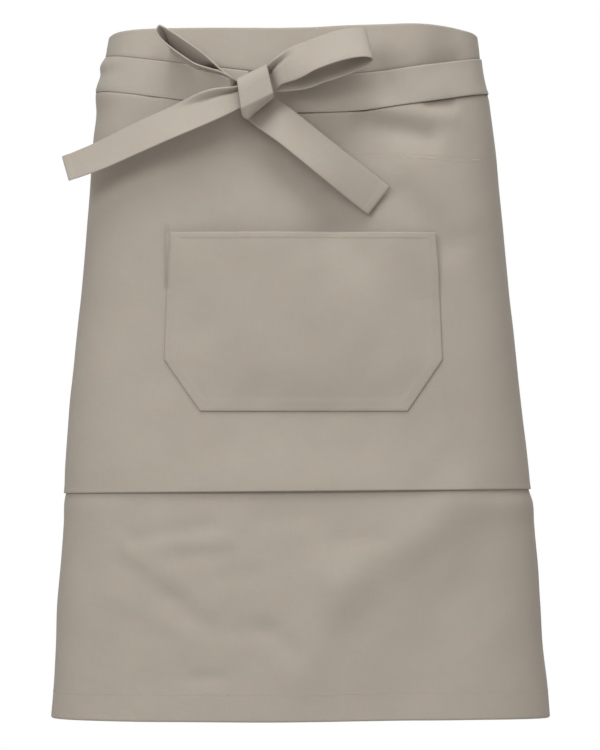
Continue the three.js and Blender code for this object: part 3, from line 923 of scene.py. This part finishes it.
def stitches(wall, rows):
    """One mesh of all the stitches on a wall, along rows of shares along and across it."""
    rings = np.array(STITCH_RINGS)
    angles = np.arange(STITCH_SIDES) / STITCH_SIDES * 2 * math.pi
    points = []
    for along, across in rows:
        path, out = wall.at(along, across)
        length = run_length(path)
        centres = np.arange(min(STITCH_PITCH, length[-1]) / 2, length[-1], STITCH_PITCH)
        ring_at = centres[:, None] + rings[:, 0] * STITCH_LENGTH / 2
        place = places(*(np.interp(ring_at, length, column) for column in path.T))
        up = unit(places(*(np.interp(ring_at, length, column) for column in out.T)))
        ahead = unit(place[:, -1:] - place[:, :1])
        beside = np.cross(np.broadcast_to(ahead, up.shape), up)
        radius = (STITCH_RADIUS * rings[:, 1])[None, :, None, None]
        sunk = (STITCH_RADIUS * (STITCH_RISE - STITCH_DIP * rings[:, 0] ** 2))[None, :, None]
        circle = up[:, :, None] * np.cos(angles)[:, None] + beside[:, :, None] * np.sin(angles)[:, None]
        points.append(((place + up * sunk)[:, :, None] + circle * radius).reshape(-1, 3))
    points = np.concatenate(points)
    per_stitch = len(rings) * STITCH_SIDES
    first = np.arange(len(points) // per_stitch)[:, None, None] * per_stitch
    ring = np.arange(len(rings) - 1)[:, None] * STITCH_SIDES
    side = np.arange(STITCH_SIDES)
    a = first + ring + side
    b = first + ring + (side + 1) % STITCH_SIDES
    tube = np.stack([a, b, b + STITCH_SIDES, a + STITCH_SIDES], axis=-1).reshape(-1, 4)
    starts = (first[:, 0] + side[::-1]).tolist()
    ends = (first[:, 0] + per_stitch - STITCH_SIDES + side).tolist()
    return new_mesh(f"{wall.node}_stitches", points, tube.tolist() + starts + ends)


def line(start, end, count=ROW_POINTS):
    """The two coordinates of points from one place to another."""
    return np.linspace(start[0], end[0], count), np.linspace(start[1], end[1], count)


def panel_shares(distance, height):
    """Shares along and across the upper panel."""
    top = edge_height(TOP_EDGE, distance)
    bottom = edge_height(LAP_EDGE, distance)
    return distance / PANEL_WIDTH + 0.5, (top - height) / (top - bottom)


def side_rows(first=ROW_END):
    near = SIDE_STITCH / PANEL_WIDTH
    return [line((along, first), (along, 1 - ROW_END)) for along in (near, 1 - near)]


def cross_seam_rows():
    """Two close rows across the right of the upper panel, with a tack at their end."""
    distance, height = line((CROSS_SEAM.x0, CROSS_SEAM.z0), (CROSS_SEAM.x1, CROSS_SEAM.z1))
    rows = [panel_shares(distance, height - drop) for drop in (0, CROSS_SEAM.apart)]
    for place in np.arange(BAR_TACK.x0, BAR_TACK.x1, BAR_TACK.pitch):
        level = CROSS_SEAM.z1 - BAR_TACK.tall * np.array([0, 1])
        rows.append(panel_shares(np.full(2, place), level))
    return rows


def pocket_rows():
    """Rows along the pocket's sewn edges and its mouth."""
    depth = POCKET_HEIGHTS[0] - POCKET_HEIGHTS[-1]
    across = np.linspace(MOUTH_HEM, depth - EDGE_STITCH, POCKET_ROW_POINTS) / depth
    height = POCKET_HEIGHTS[0] - across * depth
    half_width = pocket_level("half_width", height)
    inset = EDGE_STITCH * np.hypot(1, np.gradient(half_width, height)) / (2 * half_width)
    foot, mouth = (line((inset[k], across[k]), (1 - inset[k], across[k])) for k in (-1, 0))
    return [(inset, across), (1 - inset, across), foot, mouth]


def strip_rows(free_end=None):
    """A row along a strip's lower edge, and one across its end if it is the named free end."""
    edge = 1 - EDGE_STITCH / TIE_WIDTH
    rows = [line((ROW_END, edge), (1 - ROW_END, edge))]
    if free_end:
        near = 1 - (END_HEM - END_HEM_STEP) / STRIP_LENGTHS[free_end]
        rows.append(line((near, END_ROW_END), (near, 1 - END_ROW_END)))
    return rows


def box_rows(node, at_end):
    """A box with a cross, where a tie is sewn on."""
    near, far = np.array([EDGE_STITCH, EDGE_STITCH + BOX_STITCH]) / STRIP_LENGTHS[node]
    if at_end:
        near, far = 1 - near, 1 - far
    low, high = EDGE_STITCH / TIE_WIDTH, 1 - EDGE_STITCH / TIE_WIDTH
    corners = [(near, low), (far, low), (far, high), (near, high)]
    pairs = [(0, 1), (1, 2), (2, 3), (3, 0), (0, 2), (1, 3)]
    return [line(corners[i], corners[j]) for i, j in pairs]


def link(tree, source, target):
    """Links a socket to an output, or sets it to a value."""
    if isinstance(source, bpy.types.NodeSocket):
        tree.links.new(source, target)
    else:
        target.default_value = source


def new_node(tree, kind, sockets, **settings):
    """A shader node with its settings, and each of its sockets linked or set."""
    node = tree.nodes.new(f"ShaderNode{kind}")
    for name, value in settings.items():
        setattr(node, name, value)
    for socket, source in sockets.items():
        link(tree, source, node.inputs[socket])
    return node


def math_node(tree, operation, *parts):
    return new_node(tree, "Math", dict(enumerate(parts)), operation=operation).outputs[0]


def stretch_node(tree, vector, scale):
    return new_node(tree, "VectorMath", {0: vector, 1: scale}, operation="MULTIPLY").outputs["Vector"]


def noise_node(tree, vector, scale, detail, stretch=(1, 1, 1)):
    sockets = dict(Vector=stretch_node(tree, vector, stretch), Scale=scale, Detail=detail)
    return new_node(tree, "TexNoise", sockets).outputs["Fac"]


def bump_node(tree, height, distance, strength, **before):
    sockets = dict(Height=height, Distance=distance, Strength=strength, **before)
    return new_node(tree, "Bump", sockets).outputs["Normal"]


def span_node(tree, factor, low, high):
    """A number that runs from low to high as factor runs from 0 to 1."""
    return math_node(tree, "MULTIPLY_ADD", factor, high - low, low)


def tint_node(tree, colour, factor, low, high):
    """The colour times a number that runs from low to high."""
    sockets = {0: colour, "Scale": span_node(tree, factor, low, high)}
    return new_node(tree, "VectorMath", sockets, operation="SCALE").outputs["Vector"]


def mix_node(tree, factor, first, second):
    """A colour from the first to the second as factor runs from 0 to 1."""
    colours = {MIX_FIRST: first, MIX_SECOND: second}
    return new_node(tree, "Mix", {"Factor": factor, **colours}, data_type="RGBA").outputs[MIX_RESULT]


def hue_node(tree, colour, factor):
    """The colour between its cooler and warmer forms."""
    spread = span_node(tree, factor, **WARMTH_SPREAD)
    spread.node.use_clamp = True
    forms = [(*(part * tint for part, tint in zip(colour, tints)), 1) for tints in (COOLER, WARMER)]
    return mix_node(tree, spread, *forms)


def twill(tree, flat):
    """Height of a twill weave and 1 where a weft thread is on top, from flat cloth places in mm."""
    split = new_node(tree, "SeparateXYZ", {0: flat}).outputs
    warp, weft = (math_node(tree, "DIVIDE", split[axis], THREAD) for axis in "XY")
    step = math_node(tree, "ADD", math_node(tree, "FLOOR", warp), math_node(tree, "FLOOR", weft))
    weft_on_top = math_node(tree, "LESS_THAN", math_node(tree, "FLOORED_MODULO", step, TWILL), 0.5)

    def crown(threads):
        angle = math_node(tree, "MULTIPLY", math_node(tree, "FRACT", threads), math.pi)
        return math_node(tree, "SINE", angle)

    weft_height = math_node(tree, "MULTIPLY", crown(weft), weft_on_top)
    warp_height = math_node(tree, "MULTIPLY", crown(warp), math_node(tree, "SUBTRACT", 1.0, weft_on_top))
    return math_node(tree, "ADD", weft_height, warp_height), weft_on_top


def new_material(name, finish):
    """A material with constants set on its shader, and that shader."""
    material = bpy.data.materials.new(name)
    material.use_nodes = True
    shader = material.node_tree.nodes["Principled BSDF"]
    for socket, value in finish.items():
        shader.inputs[socket].default_value = value
    return material, shader


def cloth_material(name, colour):
    material, shader = new_material(name, CLOTH_FINISH)
    tree = material.node_tree
    flat = new_node(tree, "UVMap", {}, uv_map="flat").outputs["UV"]
    in_mm = stretch_node(tree, flat, (1 / MM,) * 3)
    weave, weft_on_top = twill(tree, in_mm)
    # The rim mark, for edge wear and a painted highlight on the rims.
    wear = new_node(tree, "Attribute", {}, attribute_name="wear").outputs["Fac"]
    layers = {layer: noise_node(tree, in_mm, **noise) for layer, noise in NOISES.items()}
    layers.update(weft=weft_on_top, wear=wear)
    tinted = hue_node(tree, colour, layers["warmth"])
    for layer, tint in TINTS.items():
        tinted = tint_node(tree, tinted, layers[layer], **tint)
    link(tree, tinted, shader.inputs["Base Color"])
    link(tree, span_node(tree, layers["slub"], **SLUB_ROUGHNESS), shader.inputs["Roughness"])
    uneven = bump_node(tree, layers["crinkle"], **CRINKLE_BUMP)
    link(tree, bump_node(tree, weave, **WEAVE_BUMP, Normal=uneven), shader.inputs["Normal"])
    return material


def thread_material(name, colour):
    material, shader = new_material(name, THREAD_FINISH)
    tree = material.node_tree
    place = new_node(tree, "TexCoord", {}).outputs["Object"]
    in_mm = stretch_node(tree, place, (1 / MM,) * 3)
    fibre = noise_node(tree, in_mm, **FIBRE)
    link(tree, tint_node(tree, colour, fibre, **FIBRE_TINT), shader.inputs["Base Color"])
    link(tree, bump_node(tree, fibre, **FIBRE_BUMP), shader.inputs["Normal"])
    return material


panel_cloth = cloth_material("panel_cloth", PANEL_COLOUR)
# The ties' material has that lighter colour of painted light.
tie_cloth = cloth_material("tie_cloth", TIE_COLOUR_WITH_PAINTED_LIGHT)
thread = thread_material("thread", THREAD_COLOUR)


def dress(piece, material):
    piece.data.materials.append(material)
    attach(piece, "root")


def sew(wall, rows):
    """Stitches on a wall, as a piece of their own."""
    piece = stitches(wall, rows)
    dress(piece, thread)
    return piece


both_ties = ["tie_left_cloth", "tie_right_cloth"]
on_panel = ["upper_panel_cloth"]
on_knot = ["bow_knot_cloth"]
hem_row = line((HEM_ROW_END, HEM_SHARE), (1 - HEM_ROW_END, HEM_SHARE), HEM_ROW_POINTS)
panels = [
    (upper_panel(), UPPER_FLAT, None, both_ties, side_rows() + cross_seam_rows()),
    (lower_panel(), LOWER_FLAT, None, on_panel, [*side_rows(LAPPED_ROW_START), hem_row]),
    (pocket(), POCKET_FLAT, POCKET_AREA, on_panel, pocket_rows()),
]
strips = [
    (tie("tie_left", TIE_LEFT), on_panel, strip_rows() + box_rows("tie_left", at_end=False)),
    (tie("tie_right", TIE_RIGHT), on_panel, strip_rows() + box_rows("tie_right", at_end=True)),
    (knot(), ["tie_right_cloth"], []),
    (bow_loop("bow_loop_left", LOOP_LEFT), on_knot, strip_rows()),
    (bow_loop("bow_loop_right", LOOP_RIGHT), on_knot, strip_rows()),
    (bow_tail("bow_tail_left", TAIL_LEFT, TAIL_ROLL), on_knot, strip_rows("bow_tail_left")),
    (bow_tail("bow_tail_right", TAIL_RIGHT), on_knot, strip_rows("bow_tail_right")),
]

for wall, flat_size, cut_area, rests_on, rows in panels:
    dress(wall.piece, panel_cloth)
    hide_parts(wall.node)
    seams = sew(wall, rows)

for wall, rests_on, rows in strips:
    dress(wall.piece, tie_cloth)
    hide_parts(wall.node)
    seams = [sew(wall, rows)] if rows else []
    flat_size = (TIE_WIDTH * MM, STRIP_LENGTHS[wall.node] * MM)


def make_floor():
    disc = bmesh.new()
    bmesh.ops.create_circle(disc, cap_ends=True, segments=FLOOR.sides, radius=FLOOR.radius)
    mesh = bpy.data.meshes.new("floor")
    disc.to_mesh(mesh)
    disc.free()
    mesh.materials.append(new_material("pale_floor", FLOOR_FINISH)[0])
    floor = new_object("floor", mesh)
    floor.location.z = FLOOR.height


def make_world():
    """Soft light from all round, seen by the camera as plain white."""
    world = bpy.data.worlds.new("studio")
    world.use_nodes = True
    tree = world.node_tree
    background = tree.nodes["Background"]
    seen = new_node(tree, "LightPath", {}).outputs["Is Camera Ray"]
    link(tree, mix_node(tree, seen, AMBIENT_TINT, WHITE), background.inputs["Color"])
    link(tree, span_node(tree, seen, AMBIENT, 1), background.inputs["Strength"])
    bpy.context.scene.world = world


def area_light(name, place, size, energy):
    light = bpy.data.lights.new(name, "AREA")
    light.shape = "DISK"
    light.size = size
    light.energy = energy
    lamp = new_object(name, light)
    lamp.location = place
    lamp.rotation_euler = (Vector(AIM) - Vector(place)).to_track_quat("-Z", "Y").to_euler()


def make_camera():
    camera = bpy.data.cameras.new("camera")
    camera.lens = CAMERA.lens
    camera.sensor_width = CAMERA.sensor
    viewer = new_object("camera", camera)
    viewer.location = CAMERA.place
    viewer.rotation_euler = (math.pi / 2, 0, 0)
    bpy.context.scene.camera = viewer


make_floor()
make_world()
for light in LIGHTS:
    area_light(**light)
make_camera()
bpy.context.scene.view_settings.view_transform = "Standard"
